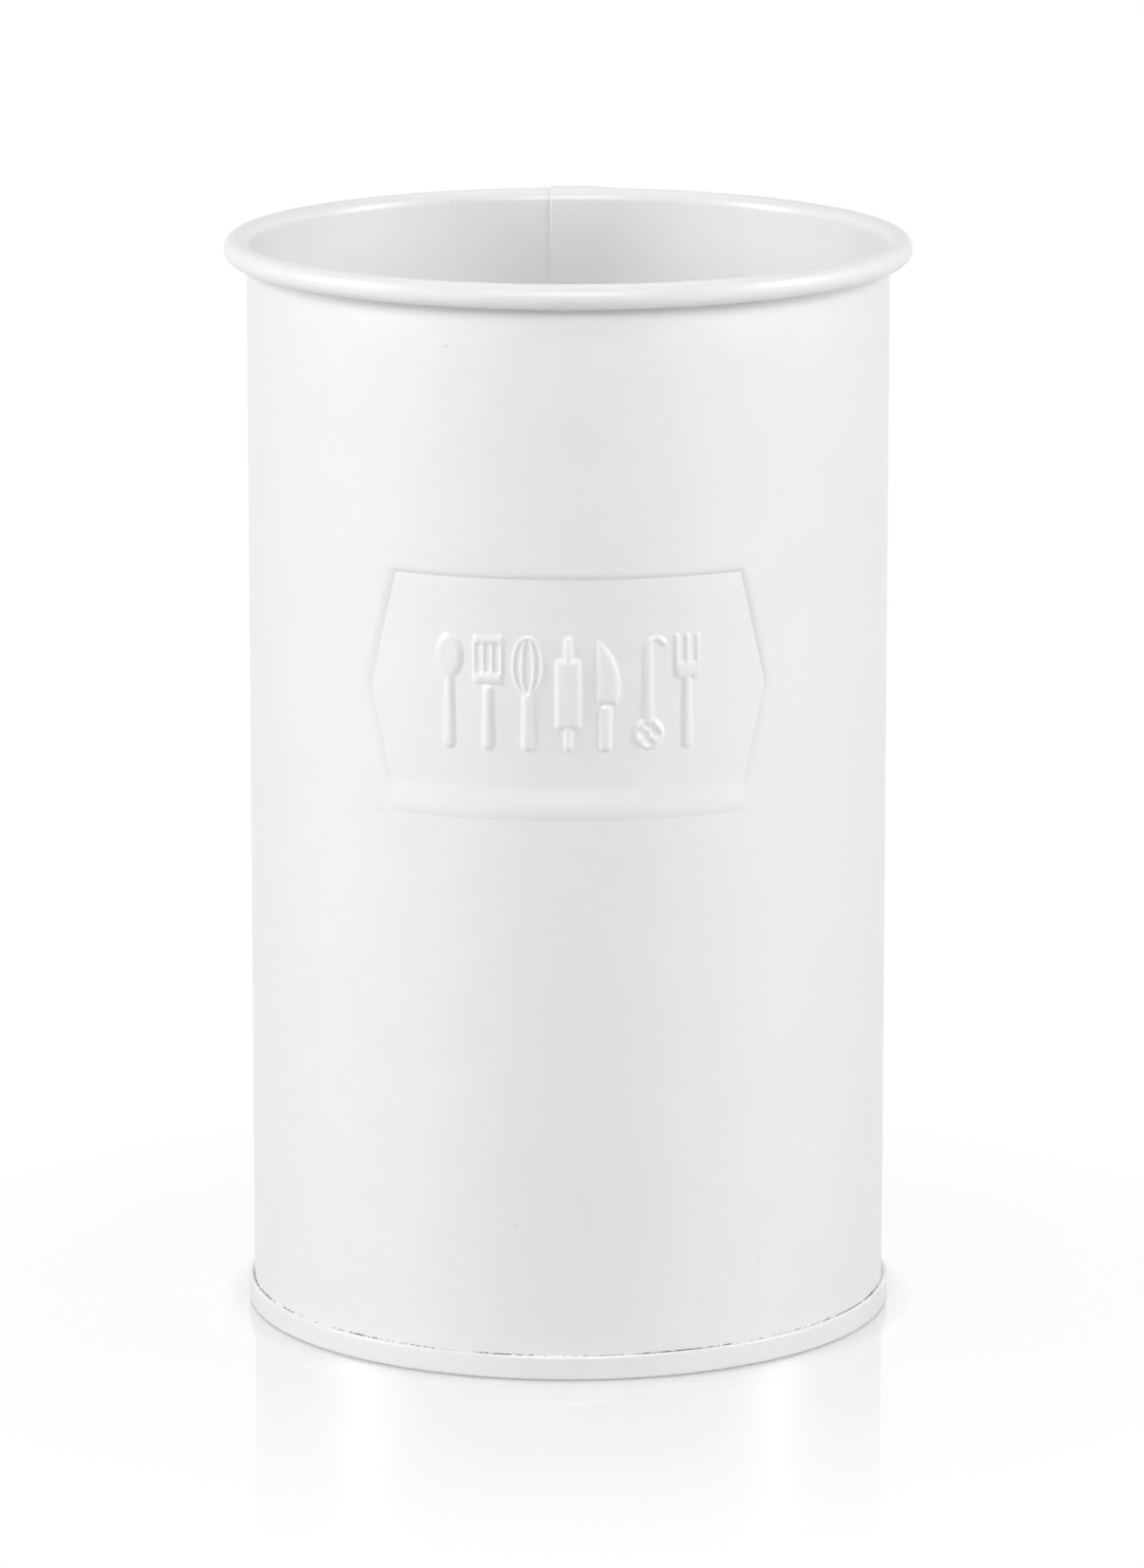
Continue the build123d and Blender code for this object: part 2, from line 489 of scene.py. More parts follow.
def plaque_half_width(height):
    """Half width of the plaque's floor, kept on above and below it."""
    plaque = settings().plaque
    share = np.clip(np.abs(height - plaque.middle) / plaque.half_height, 0, 1)
    return plaque.point_half_width - (plaque.point_half_width - plaque.end_half_width) * share


def slope(share, sharpness):
    """1 at the crisp inner edge of a slope, easing out to 0 at its soft shoulder."""
    return (1 - np.clip(share, 0, 1)) ** sharpness


def plaque_press(across, height):
    """How far the wall is pressed in, or out where it is negative."""
    plaque = settings().plaque
    high = plaque.middle + plaque.half_height
    taper = (plaque.point_half_width - plaque.end_half_width) / plaque.half_height
    beside = (np.abs(across) - plaque_half_width(height)) / math.hypot(1, taper)
    on_left = across < 0
    side = np.maximum(beside, 0) / np.where(on_left, plaque.left_slope, plaque.right_slope)
    top = np.maximum(height - high, 0) / plaque.top_slope
    soft, crisp = 1.6, 2.1
    edge = slope(np.hypot(side, top), np.where(on_left & (side > top), soft, crisp))
    lip_top = plaque.foot_height + plaque.lip_slope
    rise = smooth_step((lip_top + plaque.ramp - height) / plaque.ramp)
    way_down = np.clip((high - height) / (high - lip_top), 0, 1)
    sunk = -plaque.depth * (1 - plaque.tilt * way_down)
    floor = sunk + (plaque.lip - sunk) * rise
    down = 1 - slope((height - plaque.foot_height) / plaque.lip_slope, 2)
    lip_end = 1.3 * MM
    end = smooth_step((plaque.lip_half_width - np.abs(across)) / lip_end)
    proud = np.where(height > plaque.foot_height, down * end, 0)
    return np.where(floor < 0, -floor * edge, -floor * proud)


def wall_press(across, height):
    """How far the wall is pressed in, with the utensils raised on the plaque."""
    return plaque_press(across, height) - utensil_relief(across, height)


# The rolled can body

def lap_offset(angle):
    """Place along the back, from its middle towards +X, of an angle round the wall."""
    can = settings().can
    turned = (math.pi - np.asarray(angle) + math.pi) % (2 * math.pi) - math.pi
    return turned * (can.wall_radius - can.sheet)


def lap_share(angle, edge):
    """Share of a sheet by which a face is set in, from that edge until the lap has eased out."""
    can = settings().can
    offset = lap_offset(angle)
    eased = 1 - smooth_step((offset - can.lap_edge - can.lap_width) / can.lap_ease)
    return np.where(offset < edge, 0, eased)


def body_columns():
    """Angles of the grid's lines round the can, closer where there is something to show."""
    can = settings().can
    plaque = settings().plaque
    point = plaque.point_half_width
    side_slope = np.array([-0.04, 0, 0.08, 0.25, 0.5, 0.8, 1.15, 1.5, 2, 2.7]) * MM
    flank_start, back_start = 62 * MM, 150 * MM
    middle = spaced(-UTENSIL_REACH, UTENSIL_REACH, 1 * MM)
    right = merged(
        spaced(UTENSIL_REACH, point - 0.2 * MM, 1.2 * MM),
        point + side_slope,
        spaced(point + 3.6 * MM, flank_start, 1.6 * MM),
        spaced(flank_start, back_start, 2.1 * MM),
    )
    front = merged(-right, middle, right)
    lap_end = can.lap_edge + can.lap_width
    inner_edge = np.array([-0.06, -0.02, 0, 0.04, 0.12, 0.3]) * MM
    outer_edge = np.array([-0.12, -0.04, 0, 0.02, 0.06, 0.3]) * MM
    back = merged(
        spaced(-10 * MM, can.lap_edge - 0.1 * MM, 1.4 * MM),
        can.lap_edge + inner_edge,
        spaced(can.lap_edge + 0.6 * MM, lap_end - 0.3 * MM, 1 * MM),
        lap_end + outer_edge,
        spaced(lap_end + 0.8 * MM, lap_end + can.lap_ease, 0.8 * MM),
    )
    inner_radius = can.wall_radius - can.sheet
    angles = np.concatenate([front / can.wall_radius, math.pi - back / inner_radius])
    return merged((angles + math.pi) % (2 * math.pi) - math.pi)


def outer_heights():
    """Rows of the wall's outer face."""
    can = settings().can
    plaque = settings().plaque
    high = plaque.middle + plaque.half_height
    foot = plaque.foot_height
    lip_top = foot + plaque.lip_slope
    crease = np.array([-0.4, -0.04, 0, 0.07, 0.22, 0.4, 0.65, 0.95]) * MM
    top_slope = np.array([-0.05, 0, 0.08, 0.2, 0.4, 0.65, 0.95, 1.3, 2]) * MM
    return merged(
        [1.4 * MM, 2.8 * MM, can.lap_bottom, can.lap_bottom + LAP_STEP],
        spaced(4 * MM, 68 * MM, 3.2 * MM),
        spaced(70 * MM, foot - 1 * MM, 2 * MM),
        foot + crease,
        spaced(lip_top - 0.1 * MM, lip_top + plaque.ramp, 0.3 * MM),
        spaced(lip_top + plaque.ramp + 0.6 * MM, UTENSIL_BAND[0], 1.1 * MM),
        spaced(*UTENSIL_BAND, 1 * MM),
        spaced(UTENSIL_BAND[1], high - 0.6 * MM, 1.2 * MM),
        high + top_slope,
        spaced(high + 3.2 * MM, can.rim_height - WALL_ROWS_GAP, 2.6 * MM),
    )


def inner_heights():
    """Rows of the wall's inner face, which needs fewer."""
    can = settings().can
    plaque = settings().plaque
    high = plaque.middle + plaque.half_height
    foot = plaque.foot_height
    crease = np.array([-0.1, 0.1, 0.5, 1, 1.5, 2.1, 2.8, 3.5, 4.2, 5]) * MM
    top_slope = np.array([0, 0.3, 0.7, 1.2, 2]) * MM
    return merged(
        [1.4 * MM, 2.8 * MM, can.lap_bottom, can.lap_bottom + LAP_STEP],
        spaced(7 * MM, foot - 1 * MM, 4 * MM),
        foot + crease,
        spaced(foot + 6 * MM, UTENSIL_BAND[0], 2 * MM),
        spaced(*UTENSIL_BAND, 2 * MM),
        spaced(UTENSIL_BAND[1], high - 0.3 * MM, 2 * MM),
        high + top_slope,
        spaced(high + 4 * MM, can.rim_height - WALL_ROWS_GAP, 4 * MM),
    )


def curl_circle():
    """Radius of the curl's middle line in section, and the height of its centre."""
    can = settings().can
    radius = (can.rim_radius - can.wall_radius) / 2
    return radius, can.rim_height - can.sheet / 2 - radius


def body_section(heights, curl_steps):
    """Middle line from the hook's tip, round the hook, up the wall and round the curl."""
    can = settings().can
    curl_radius, curl_height = curl_circle()
    hook_turn = 2.5 * can.sheet
    section = SheetSection(layer_radius(2), BODY_HOOK_TIP, -math.pi / 2)
    section.climb([hook_turn])
    section.bend(-math.pi, can.sheet, HOOK_STEPS)
    section.climb(heights)
    section.climb([curl_height])
    section.bend(-can.curl_turn, curl_radius, curl_steps)
    return section


class SheetSkin:
    """Both faces of a bent sheet as one grid that closes both ways, with finer blocks where asked."""

    def __init__(self, left_rows, right_rows, angles, place):
        self.rows = np.vstack([left_rows, right_rows[::-1]])
        self.left_count = len(left_rows)
        self.angles = angles
        self.place = place
        columns, rows = np.meshgrid(np.arange(len(angles)), np.arange(len(self.rows)))
        self.parts = [self.points(rows.ravel().astype(float), columns.ravel().astype(float))]
        self.ids = np.arange(rows.size).reshape(rows.shape)
        self.count = rows.size
        self.whole = np.ones(rows.shape, bool)
        self.faces = []

    def points(self, row, column):
        """Places of grid points that may lie between rows and columns."""
        steps = np.arange(len(self.rows))
        values = [np.interp(row, steps, self.rows[:, k]) for k in range(4)]
        angle = np.interp(column, np.arange(len(self.angles)), self.angles)
        is_left = row <= self.left_count - 1
        return self.place(*values, angle, is_left)

    def right_row(self, number):
        """Grid row of a row of the right face."""
        return len(self.rows) - 1 - number

    def refine(self, first_row, last_row, first_column, last_column, row_share, column_share):
        """Divides a block of cells, and gives its neighbours the points along their shared edges."""
        down = np.arange((last_row - first_row) * row_share + 1)
        over = np.arange((last_column - first_column) * column_share + 1)
        over_grid, down_grid = np.meshgrid(over, down)
        shared = (down_grid % row_share == 0) & (over_grid % column_share == 0)
        fine = np.empty(down_grid.shape, int)
        fine[shared] = self.ids[first_row + down_grid[shared] // row_share,
                                first_column + over_grid[shared] // column_share]
        new = ~shared
        fine[new] = self.count + np.arange(new.sum())
        self.count += int(new.sum())
        self.parts.append(self.points(first_row + down_grid[new] / row_share,
                                      first_column + over_grid[new] / column_share))
        self.faces += quads(fine).tolist()
        self.whole[first_row:last_row, first_column:last_column] = False
        for row in range(first_row, last_row):
            edge = fine[(row - first_row) * row_share:(row - first_row + 1) * row_share + 1]
            self.stitch(row, first_column - 1, right=edge[:, 0])
            self.stitch(row, last_column, left=edge[:, -1])
        for column in range(first_column, last_column):
            share = slice((column - first_column) * column_share,
                          (column - first_column + 1) * column_share + 1)
            self.stitch(first_row - 1, column, top=fine[0, share])
            self.stitch(last_row, column, bottom=fine[-1, share])

    def stitch(self, row, column, bottom=None, right=None, top=None, left=None):
        """One cell beside a fine block, as a face with more corners."""
        a = self.ids[row, column]
        b = self.ids[row, column + 1]
        c = self.ids[row + 1, column + 1]
        d = self.ids[row + 1, column]
        low = [a, b] if bottom is None else list(bottom)
        far = [b, c] if right is None else list(right)
        high = [c, d] if top is None else list(top)[::-1]
        near = [d, a] if left is None else list(left)[::-1]
        self.faces.append([int(i) for i in low[:-1] + far[:-1] + high[:-1] + near[:-1]])
        self.whole[row, column] = False

    def mesh(self, name):
        """The whole cells, the divided ones and those beside them, as one closed mesh."""
        plain = quads(closed(self.ids))[self.whole.ravel()]
        return solid_mesh(name, np.vstack(self.parts), plain.tolist() + self.faces)


def closed(ids):
    """Grid of point numbers, with its first row and column once more at its end."""
    return np.pad(ids, ((0, 1), (0, 1)), mode="wrap")


def quads(ids):
    """Faces of a grid of point numbers, row by row."""
    corners = [ids[:-1, :-1], ids[:-1, 1:], ids[1:, 1:], ids[1:, :-1]]
    return np.stack([c.ravel() for c in corners], axis=1)


def solid_mesh(name, points, faces):
    """Closed mesh with its faces turned outward."""
    mesh = bpy.data.meshes.new(name)
    mesh.from_pydata(points.tolist(), [], faces)
    mesh.update()
    some = faces[::7]
    corners = [(face[0], face[i], face[i + 1]) for face in some for i in range(1, len(face) - 1)]
    a, b, c = (points[[corner[k] for corner in corners]] for k in range(3))
    if np.einsum("ij,ij->i", a, np.cross(b, c)).sum() < 0:
        mesh.flip_normals()
    mesh.shade_smooth()
    mesh.set_sharp_from_angle(angle=math.radians(50))
    return mesh


def round_places(radius, height, angle):
    """Places at that radius and height, and at that angle from the front."""
    return np.stack([radius * np.sin(angle), -radius * np.cos(angle), height], axis=-1)


def beside_plaque(start, height):
    """Place round the wall to which a column moves, so that it runs along the plaque's pointed sides."""
    plaque = settings().plaque
    edge = plaque.point_half_width
    reach = 27 * MM
    fade = np.where(np.abs(start) < edge, np.abs(start) / edge,
                    np.clip(1 - (np.abs(start) - edge) / reach, 0, 1))
    away = np.abs(height - plaque.middle) - plaque.half_height
    straight, settling = 4 * MM, 16 * MM
    settle = 1 - smooth_step((away - straight) / settling)
    pinch = (plaque_half_width(height) - edge) * settle
    return start + np.sign(start) * pinch * fade


def body_place(radius, height, left_out, left_up, angle, is_left):
    """Where a point of the body goes: the plaque, the raised utensils, the lap and the rough paint."""
    can = settings().can
    across = beside_plaque(angle * can.wall_radius, height)
    angle = across / can.wall_radius
    lapped = height > can.lap_bottom + LAP_STEP / 2
    on_wall = lapped & (height < can.rim_height - PRESS_GAP)
    press = np.where(on_wall, wall_press(across, height), 0)
    lift = np.where(is_left & lapped, lap_share(angle, can.lap_edge) * can.sheet, 0)
    dip = np.where(~is_left & on_wall, lap_share(angle, can.lap_edge + can.lap_width) * can.sheet, 0)
    lump = np.where(is_left, rough_paint(across, radius, height), 0)
    radius = radius + left_out * (lift + lump) - press - dip
    height = height + left_up * (lift + lump)
    return round_places(radius, height, angle)


def rough_paint(across, radius, height):
    """Lumps in the paint where the front of the curl turns under."""
    can = settings().can
    curl_radius, curl_height = curl_circle()
    tilt = np.degrees(np.arctan2(height - curl_height, radius - can.wall_radius - curl_radius))
    fade = 1.5 * MM
    inside = smooth_step((across - can.rough_start) / fade)
    inside = inside * smooth_step((can.rough_end - across) / fade)
    lowest, low_fade = -105, 20
    highest, high_fade = 5, 35
    under = smooth_step((tilt - lowest) / low_fade) * smooth_step((highest - tilt) / high_fade)
    along = np.radians(tilt) * curl_radius
    noise_start = 20 * MM
    lump = 0.42 * MM
    place = (across + noise_start, along + noise_start)
    grain = lattice_noise(*place, lump, SEED) + 0.6 * lattice_noise(*place, lump / 2, SEED + 1)
    outside = radius > can.wall_radius + curl_radius * 0.9
    return can.rough_depth * grain * inside * under * outside


def nearest(values, wanted):
    """Number of the value that is nearest to the wanted one."""
    return int(np.argmin(np.abs(values - wanted)))


def body_mesh():
    """The body's two faces, with finer blocks at the utensils and at the rough paint."""
    can = settings().can
    outer = outer_heights()
    inner = inner_heights()
    left = body_section(inner, INNER_CURL_STEPS).face(can.sheet / 2)
    right = body_section(outer, OUTER_CURL_STEPS).face(-can.sheet / 2)
    angles = body_columns()
    skin = SheetSkin(left, right, angles, body_place)
    first, last = (nearest(angles, place / can.wall_radius) for place in (-UTENSIL_REACH, UTENSIL_REACH))
    wall_start = HOOK_STEPS + 2
    low, high = (skin.right_row(wall_start + nearest(outer, height)) for height in UTENSIL_BAND)
    skin.refine(high, low, first, last, row_share=5, column_share=5)
    low, high = (wall_start + nearest(inner, height) for height in UTENSIL_BAND)
    skin.refine(low, high, first, last, row_share=5, column_share=3)
    first, last = (nearest(angles, place / can.wall_radius) for place in ROUGH_REACH)
    low, high = (wall_start + len(inner) + step for step in ROUGH_CURL_STEPS)
    skin.refine(low, high, first, last, row_share=1, column_share=6)
    return skin.mesh("can_body_skin")


# The stamped base end

def base_section():
    """Middle line from the end hook over the seam, round the foot and in to the middle."""
    can = settings().can
    base = settings().base
    steps = BASE_BEND_STEPS
    foot_bend = (4 * can.sheet - base.foot_flat) / 2
    foot_top = foot_bend + can.sheet / 2
    section = SheetSection(layer_radius(1), END_HOOK_TIP, math.pi / 2)
    section.climb([base.seam_height - 1.5 * can.sheet])
    section.bend(-math.pi, can.sheet, 3 * steps)
    section.climb(spaced(base.seam_height - 1.9 * can.sheet, foot_top + 0.1 * MM, 0.7 * MM))
    section.climb([foot_top])
    section.bend(-math.pi / 2, foot_bend, 2 * steps)
    section.run(base.foot_flat, 2)
    section.bend(-math.pi / 2, foot_bend, 2 * steps)
    section.climb([base.panel_rise - base.panel_corner])
    section.bend(math.pi / 2, base.panel_corner, 2 * steps)
    section.run(section.at[0] - base.ring_radius, 3)
    section.bend(STEP_TURN, STEP_BEND, steps)
    section.run(STEP_RUN)
    section.bend(-STEP_TURN, STEP_BEND, steps)
    section.run(section.at[0] - base.bead_radius, 5)
    section.bend(-STEP_TURN, STEP_BEND, steps)
    section.run(BEAD_RUN)
    section.bend(2 * STEP_TURN, STEP_BEND, 2 * steps)
    section.run(BEAD_RUN)
    section.bend(-STEP_TURN, STEP_BEND, steps)
    section.run(section.at[0] - FAN_RADIUS, 12)
    return section


def base_mesh(columns=320):
    """Base as one closed sheet, with a fan of faces at the middle of each side."""
    can = settings().can
    section = base_section()
    angles = np.arange(columns) * 2 * math.pi / columns
    rows = np.vstack([section.face(can.sheet / 2), section.face(-can.sheet / 2)[::-1]])
    left_count = len(section.points)
    radius, turn = np.meshgrid(rows[:, 0], angles, indexing="ij")
    height = np.repeat(rows[:, 1:2], columns, axis=1)
    points = round_places(radius, height, turn).reshape(-1, 3)
    wrapped = closed(np.arange(rows.shape[0] * columns).reshape(-1, columns))
    faces = quads(wrapped).reshape(-1, columns, 4)
    faces = np.delete(faces, left_count - 1, axis=0).reshape(-1, 4).tolist()
    middles = len(points)
    points = np.vstack([points, [0, 0, rows[left_count - 1, 1]], [0, 0, rows[left_count, 1]]])
    for j in range(columns):
        faces.append([wrapped[left_count - 1, j], wrapped[left_count - 1, j + 1], middles])
        faces.append([wrapped[left_count, j + 1], wrapped[left_count, j], middles + 1])
    faces = [[int(i) for i in face] for face in faces]
    return solid_mesh("base_end_skin", points, faces)


def crevice_fill(angle):
    """How full of paint the crevice above the seam is, from 0 to 1, round the can."""
    noise_start = 1
    arc = angle * settings().can.wall_radius + noise_start
    slow = lattice_noise(arc, arc * 0, 7 * MM, SEED + 2)
    fast = lattice_noise(arc, arc * 0, 0.9 * MM, SEED + 3)
    return smooth_step(0.5 + 0.55 * slow + 0.6 * fast)


def crevice_mesh(columns=1080):
    """Bead of paint in the crevice between the wall and the top of the seam, with gaps in it."""
    can = settings().can
    base = settings().base
    turn = np.arange(columns) * 2 * math.pi / columns
    least, span = 0.05, 0.5
    fill = least + span * crevice_fill(turn)
    around = 1.5 * can.sheet
    seam_middle = (layer_radius(2), base.seam_height - around)
    full_lean = math.radians(68)
    lean = math.pi - fill * full_lean
    on_seam = (seam_middle[0] + around * np.cos(lean), seam_middle[1] + around * np.sin(lean))
    film, gap, climb = 0.015 * MM, 0.33, 0.3
    on_wall = (can.wall_radius + film, seam_middle[1] + (gap + climb * fill) * MM)
    middle = tuple((a + b) / 2 for a, b in zip(on_seam, on_wall))
    corner = (can.wall_radius, on_seam[1])
    dip = 0.35
    sag = tuple(a + (b - a) * dip for a, b in zip(middle, corner))
    in_wall = can.wall_radius - 0.1 * MM
    wall_back = (in_wall, on_wall[1])
    wall_foot = (in_wall, seam_middle[1] - 0.2 * MM)
    loop = [wall_back, on_wall, sag, on_seam, seam_middle, wall_foot]
    points = np.vstack([round_places(radius, height + 0 * turn, turn) for radius, height in loop])
    ids = np.arange(len(loop) * columns).reshape(-1, columns)
    return solid_mesh("seam_paint_skin", points, quads(closed(ids)).tolist())


# Paint and floor

class NodeTree:
    """Short way to add and join shader nodes."""

    def __init__(self, owner):
        owner.use_nodes = True
        self.nodes = owner.node_tree.nodes
        self.links = owner.node_tree.links
        self.nodes.clear()

    def add(self, kind, inputs=None, **fields):
        """Adds a node. An input is a value, or the output that is linked to it."""
        node = self.nodes.new(kind)
        for name, value in fields.items():
            setattr(node, name, value)
        for name, value in (inputs or {}).items():
            if isinstance(value, bpy.types.NodeSocket):
                self.links.new(value, node.inputs[name])
            else:
                node.inputs[name].default_value = value
        return node

    def maths(self, operation, first, second):
        node = self.add("ShaderNodeMath", {0: first, 1: second}, operation=operation)
        return node.outputs[0]

    def noise(self, where, size, detail, roughness):
        node = self.add("ShaderNodeTexNoise", {
            "Vector": where, "Scale": 1 / size, "Detail": detail, "Roughness": roughness})
        return node.outputs["Fac"]

    def ramp(self, value, low, high, to_low, to_high):
        node = self.add("ShaderNodeMapRange", {
            "Value": value, "From Min": low, "From Max": high, "To Min": to_low, "To Max": to_high})
        return node.outputs["Result"]

    def blend(self, share, first, second):
        """First colour where the share is 0, and second where it is 1."""
        colour_a, colour_b, colour_result = 6, 7, 2
        node = self.add("ShaderNodeMix", {
            "Factor": share, colour_a: (*first, 1), colour_b: (*second, 1)}, data_type="RGBA")
        return node.outputs[colour_result]


def painted_metal():
    """White satin paint with a fine ripple, faint patches and a few specks of dust."""
    look = settings().paint
    material = bpy.data.materials.new("white_satin_paint")
    tree = NodeTree(material)
    where = tree.add("ShaderNodeTexCoord").outputs["Object"]
    ripple = tree.noise(where, look.peel_size, 3, 0.6)
    grain = tree.noise(where, look.peel_size / 4, 2, 0.5)
    patch_size = 14 * MM
    patches = tree.noise(where, patch_size, 3, 0.55)
    cells = tree.add("ShaderNodeTexVoronoi", {
        "Vector": where, "Scale": 1 / look.speck_spacing, "Randomness": 1.0}, feature="F1")
    speck_core, speck_edge = 0.018, 0.03
    speck = tree.ramp(cells.outputs["Distance"], speck_core, speck_edge, 1, 0)
    grain_rise, speck_rise, speck_shade = 0.35, 3.0, 0.12
    height = tree.maths("ADD", ripple, tree.maths("MULTIPLY", grain, grain_rise))
    height = tree.maths("ADD", height, tree.maths("MULTIPLY", speck, speck_rise))
    bump = tree.add("ShaderNodeBump", {"Strength": 1.0, "Distance": look.peel_depth, "Height": height})
    low, high = 0.3, 0.7
    dullest, spread = 0.985, 0.03
    shade = tree.ramp(patches, low, high, dullest, 1)
    shade = tree.maths("SUBTRACT", shade, tree.maths("MULTIPLY", speck, speck_shade))
    colour = tree.blend(shade, (0, 0, 0), look.colour)
    rough = tree.ramp(patches, low, high, look.roughness - spread, look.roughness + spread)
    shader = tree.add("ShaderNodeBsdfPrincipled", {
        "Base Color": colour, "Roughness": rough, "IOR": 1.5,
        "Normal": bump.outputs["Normal"]})
    tree.add("ShaderNodeOutputMaterial", {"Surface": shader.outputs[0]})
    return material


def crevice_painted_shade():
    """Paint in the crevice above the seam, with painted shade: dark grey spots where the crevice's gaps
    would lie in shadow.
    """
    material = bpy.data.materials.new("crevice_painted_shade")
    tree = NodeTree(material)
    where = tree.add("ShaderNodeTexCoord").outputs["Object"]
    # Noise that places the spots of painted shade along the crevice
    shade_spot_size, run_size = 0.8 * MM, 9 * MM
    holes = tree.noise(where, shade_spot_size, 2, 0.6)
    runs = tree.noise(where, run_size, 2, 0.5)
    shade_pattern = tree.maths("ADD", holes, tree.maths("MULTIPLY", runs, 0.8))
    first_shaded, all_shaded = 0.82, 0.98
    painted_shade_share = tree.ramp(shade_pattern, first_shaded, all_shaded, 0, 1)
    # Painted shade: this dark grey stands in for the shadow in the crevice's gaps
    dust = (0.12, 0.12, 0.12)
    colour = tree.blend(painted_shade_share, settings().paint.colour, dust)
    shader = tree.add("ShaderNodeBsdfPrincipled", {"Base Color": colour, "Roughness": 0.7})
    tree.add("ShaderNodeOutputMaterial", {"Surface": shader.outputs[0]})
    return material


def glossy_floor():
    """White floor whose reflection fades away from the can."""
    look = settings().stage
    material = bpy.data.materials.new("white_glossy_floor")
    tree = NodeTree(material)
    where = tree.add("ShaderNodeTexCoord").outputs["Object"]
    distance = tree.add("ShaderNodeVectorMath", {0: where}, operation="LENGTH").outputs["Value"]
    foot = settings().can.wall_radius
    shadow_end, in_shadow, in_open = 57 * MM, 0.3, 0.9
    pale_start, white_start = 62 * MM, 130 * MM
    near = tree.ramp(distance, foot, look.mirror_reach, 1, 0)
    near = tree.maths("POWER", near, 1.25)
    beside_foot = tree.ramp(distance, foot, shadow_end, in_shadow, in_open)
    far_out = tree.ramp(distance, pale_start, white_start, 0, 1 - in_open)
    whiteness = tree.maths("ADD", beside_foot, far_out)
    plain = tree.add("ShaderNodeBsdfDiffuse", {"Color": (*look.floor_colour, 1)})
    glow = tree.add("ShaderNodeEmission", {"Color": WHITE, "Strength": 1.0})
    path = tree.add("ShaderNodeLightPath")
    share = tree.maths("MULTIPLY", near, look.mirror)
    share = tree.maths("MULTIPLY", share, path.outputs["Is Camera Ray"])
    seen = tree.maths("MAXIMUM", path.outputs["Is Camera Ray"], path.outputs["Is Glossy Ray"])
    seen = tree.maths("MULTIPLY", seen, whiteness)
    white = tree.add("ShaderNodeMixShader", {0: seen, 1: plain.outputs[0], 2: glow.outputs[0]})
    mirror = tree.add("ShaderNodeBsdfGlossy", {"Color": WHITE, "Roughness": 0.06})
    mixed = tree.add("ShaderNodeMixShader", {0: share, 1: white.outputs[0], 2: mirror.outputs[0]})
    tree.add("ShaderNodeOutputMaterial", {"Surface": mixed.outputs[0]})
    return material


def add_piece(mesh, name, replaced=None, finish=None):
    """Puts a finished mesh on the body, in the satin paint unless it has its own finish."""
    piece = bpy.data.objects.new(name, mesh)
    bpy.context.scene.collection.objects.link(piece)
    paint = finish or bpy.data.materials.get("white_satin_paint") or painted_metal()
    mesh.materials.append(paint)
    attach(piece, "root")
    if replaced:
        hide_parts(replaced)


class HOLDER_OT_can_body(bpy.types.Operator):
    """Add the rolled can body with its curled rim, lap joint and pressed plaque"""

    bl_idname = "utensil_holder.can_body"
    bl_label = "Can Body"

    def execute(self, context):
        add_piece(body_mesh(), "can_body_skin", "can_body")
        return {"FINISHED"}


class HOLDER_OT_base_end(bpy.types.Operator):
    """Add the stamped base end with its double seam and the paint in the seam's crevice"""

    bl_idname = "utensil_holder.base_end"
    bl_label = "Base End"

    def execute(self, context):
        add_piece(base_mesh(), "base_end_skin", "base_end")
        # The paint bead in the seam's crevice gets a finish with painted shade in dark spots
        add_piece(crevice_mesh(), "seam_paint", finish=crevice_painted_shade())
        return {"FINISHED"}


def add_floor():
    """Square floor, 8 m wide."""
    mesh = bpy.data.meshes.new("floor")
    reach = 4.0
    corners = [(-reach, -reach, 0), (reach, -reach, 0), (reach, reach, 0), (-reach, reach, 0)]
    mesh.from_pydata(corners, [], [(0, 1, 2, 3)])
    mesh.materials.append(glossy_floor())
    floor = bpy.data.objects.new("floor", mesh)
    bpy.context.scene.collection.objects.link(floor)


def add_softbox(name, azimuth, elevation, distance, width, height, power):
    """Rectangular lamp that faces the can, so many degrees round it from the front and up."""
    lamp = bpy.data.lights.new(name, "AREA")
    lamp.shape = "RECTANGLE"
    lamp.size = width
    lamp.size_y = height
    lamp.energy = power
    softbox = bpy.data.objects.new(name, lamp)
    can_middle = 90 * MM
    target = Vector((0, 0, can_middle))
    turn = math.radians(azimuth)
    rise = math.radians(elevation)
    towards = Vector((math.sin(turn), -math.cos(turn), math.tan(rise)))
    softbox.location = target + towards * math.cos(rise) * distance
    softbox.rotation_euler = (target - softbox.location).to_track_quat("-Z", "Y").to_euler()
    bpy.context.scene.collection.objects.link(softbox)


def add_world():
    """White room that the camera and the gloss see, and a faint light from all sides."""
    world = bpy.data.worlds.new("white_room")
    bpy.context.scene.world = world
    tree = NodeTree(world)
    path = tree.add("ShaderNodeLightPath")
    seen = tree.maths("MAXIMUM", path.outputs["Is Camera Ray"], path.outputs["Is Glossy Ray"])
    seen = tree.maths("MAXIMUM", seen, path.outputs["Is Transmission Ray"])
    fill = tree.add("ShaderNodeBackground", {"Color": WHITE, "Strength": 0.02})
    white = tree.add("ShaderNodeBackground", {"Color": WHITE, "Strength": 1.0})
    mixed = tree.add("ShaderNodeMixShader", {0: seen, 1: fill.outputs[0], 2: white.outputs[0]})
    tree.add("ShaderNodeOutputWorld", {"Surface": mixed.outputs[0]})


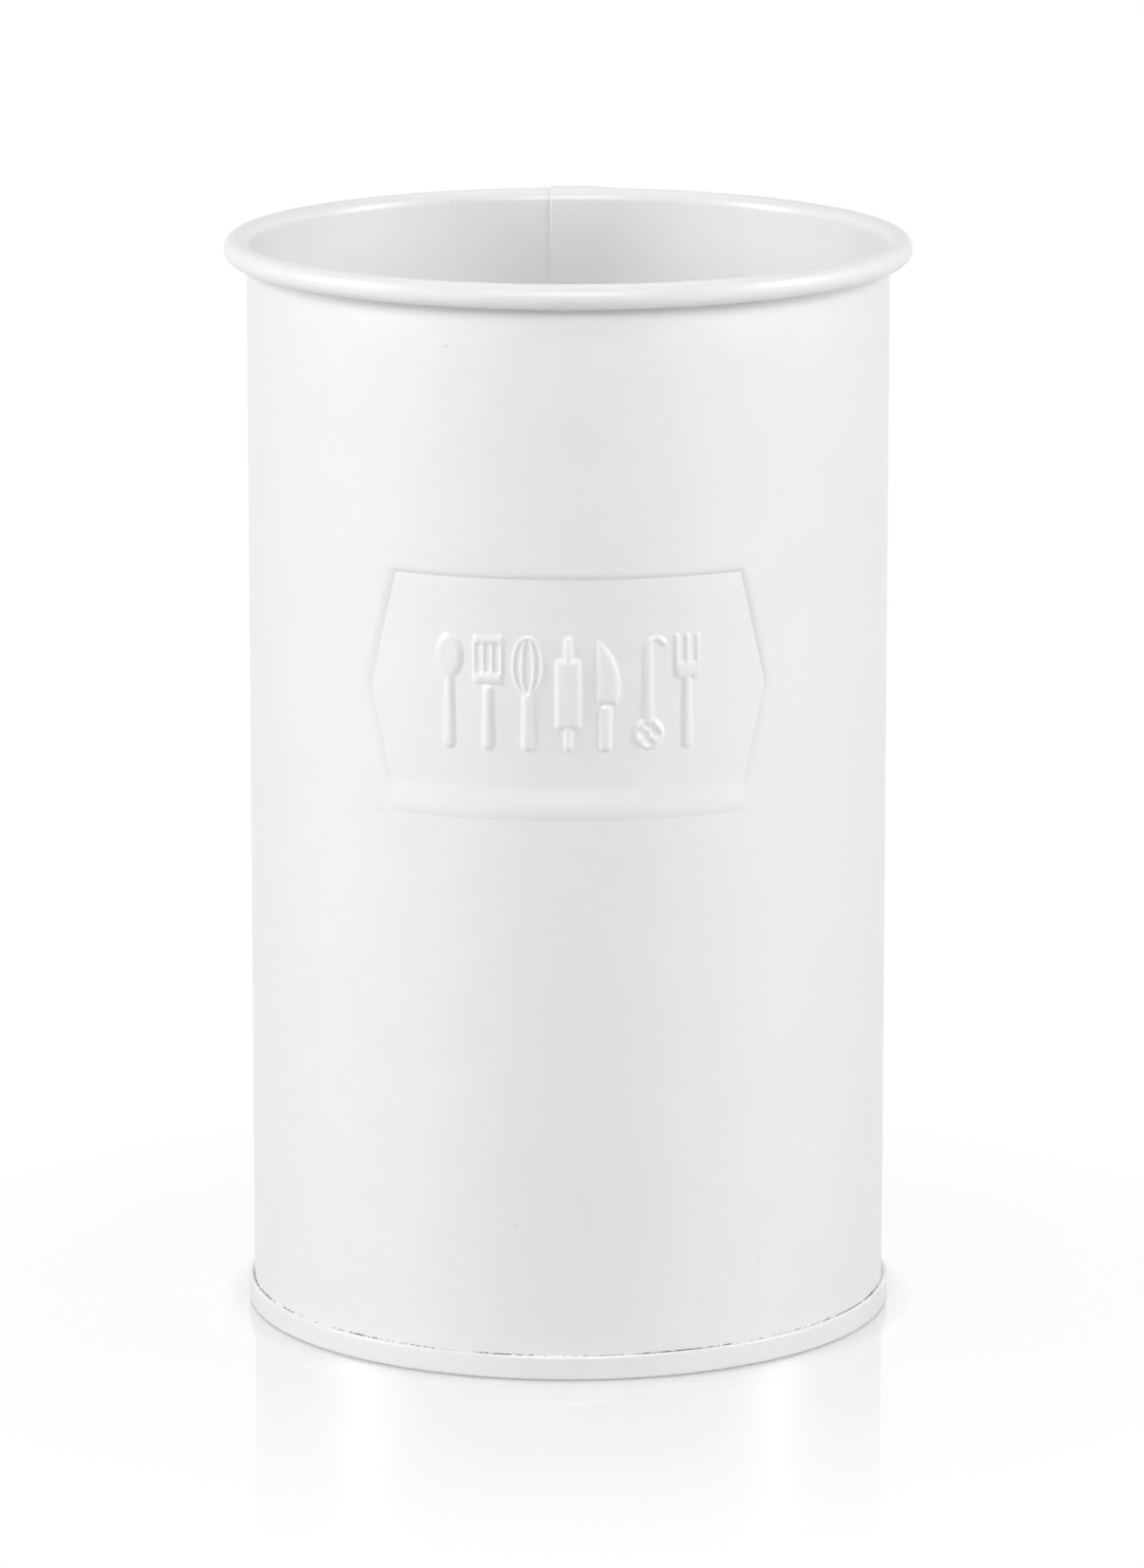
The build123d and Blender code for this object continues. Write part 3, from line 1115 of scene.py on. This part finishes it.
def add_camera():
    """Camera in front of the can, a little above it, where the photograph was taken from."""
    look = settings().stage
    lens = bpy.data.cameras.new("camera")
    lens.lens = look.lens
    lens.sensor_width = 36
    lens.clip_start = 0.05
    lens.shift_x = look.aside / PHOTO_HEIGHT
    camera = bpy.data.objects.new("camera", lens)
    camera.location = (0, -look.camera_distance, look.camera_height)
    camera.rotation_euler = (math.pi / 2 - look.camera_pitch, 0, 0)
    bpy.context.scene.collection.objects.link(camera)
    bpy.context.scene.camera = camera


class HOLDER_OT_stage(bpy.types.Operator):
    """Add the white floor, the lamps and the camera"""

    bl_idname = "utensil_holder.stage"
    bl_label = "Stage"

    def execute(self, context):
        add_floor()
        add_world()
        upright = {"distance": 1.6, "width": 0.4, "height": 0.9}
        lying = {"distance": 1.5, "width": 1.0, "height": 0.5}
        add_softbox("softbox_left", -79, 23, **upright, power=14.6)
        add_softbox("softbox_right", 81, 23, **upright, power=13.4)
        add_softbox("softbox_front", 0, 32, **lying, power=10.4)
        add_softbox("softbox_back", 180, 62, **lying, power=3)
        add_camera()
        context.scene.view_settings.view_transform = "Standard"
        return {"FINISHED"}


class HOLDER_PT_panel(bpy.types.Panel):
    """Lists the pieces and their sizes"""

    bl_idname = "HOLDER_PT_panel"
    bl_label = "Utensil Holder"
    bl_space_type = "VIEW_3D"
    bl_region_type = "UI"
    bl_category = "Utensil Holder"

    def draw(self, context):
        for name in ("can_body", "base_end", "stage"):
            self.layout.operator("utensil_holder." + name)
        holder = context.scene.utensil_holder
        for group in (holder.can, holder.plaque, holder.base, holder.paint, holder.stage):
            box = self.layout.box()
            for name in group.__annotations__:
                box.prop(group, name)


CLASSES = (
    CanSizes,
    PlaqueSizes,
    BaseSizes,
    PaintLook,
    StageLook,
    UtensilHolderSettings,
    HOLDER_OT_can_body,
    HOLDER_OT_base_end,
    HOLDER_OT_stage,
    HOLDER_PT_panel,
)


def register():
    """Registers the classes, and gives the scene its settings."""
    for cls in CLASSES:
        bpy.utils.register_class(cls)
    bpy.types.Scene.utensil_holder = PointerProperty(type=UtensilHolderSettings)


def unregister():
    """Takes the settings and the classes away again."""
    del bpy.types.Scene.utensil_holder
    for cls in reversed(CLASSES):
        bpy.utils.unregister_class(cls)


def main():
    """Makes the pieces and the stage."""
    register()
    bpy.ops.utensil_holder.can_body()
    bpy.ops.utensil_holder.base_end()
    bpy.ops.utensil_holder.stage()


if __name__ == "__main__":
    main()
